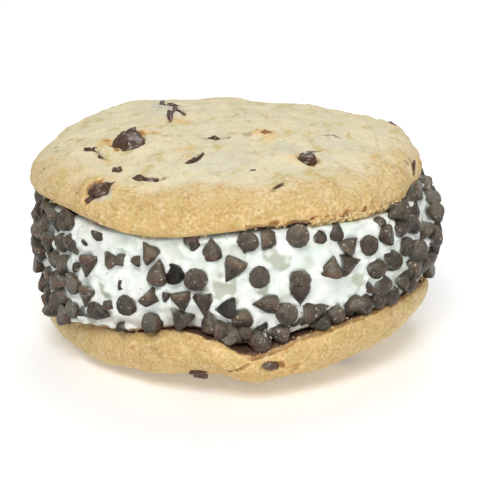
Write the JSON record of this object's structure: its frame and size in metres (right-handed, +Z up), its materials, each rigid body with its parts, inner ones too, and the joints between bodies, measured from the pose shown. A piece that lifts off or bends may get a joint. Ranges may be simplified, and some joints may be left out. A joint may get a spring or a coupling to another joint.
{
  "type": "ice cream sandwich",
  "caption": "Ice cream sandwich: chocolate chip cookies round a thick disc of vanilla ice cream, its side rolled in mini chocolate chips.",
  "frame": {"origin": "middle of the flat spot under the lower cookie, on which the sandwich rests", "axes": "+Z up through both cookies, -Y towards the front, +X to the right seen from the front"},
  "size_m": [0.0927, 0.0927, 0.0499],
  "materials": {
    "cookie": "baked cookie dough: dry, finely pitted and crumbly, pale beige on top and golden towards the rim",
    "ice_cream": "frozen vanilla ice cream: white, soft and slightly wet, with small pores",
    "mini_chips": "dark chocolate with a satin bloom",
    "chunks": "baked chocolate, darker and glossier than the mini chips"
  },
  "bodies": {
    "root": {"cookie_top": "cookie", "cookie_bottom": "cookie", "ice_cream": "ice_cream", "chip_coat": "mini_chips", "cookie_top_chunk_1": "chunks", "cookie_top_chunk_2": "chunks", "cookie_top_chunk_3": "chunks", "cookie_top_chunk_4": "chunks", "cookie_top_chunk_5": "chunks", "cookie_top_chunk_6": "chunks", "cookie_top_chunk_7": "chunks", "cookie_top_chunk_8": "chunks", "cookie_bottom_chunk_1": "chunks", "cookie_bottom_chunk_2": "chunks", "cookie_bottom_chunk_3": "chunks", "cookie_bottom_chunk_4": "chunks", "cookie_bottom_chunk_5": "chunks", "cookie_bottom_chunk_6": "chunks", "cookie_bottom_chunk_7": "chunks", "cookie_bottom_chunk_8": "chunks"}
  },
  "joints": []
}
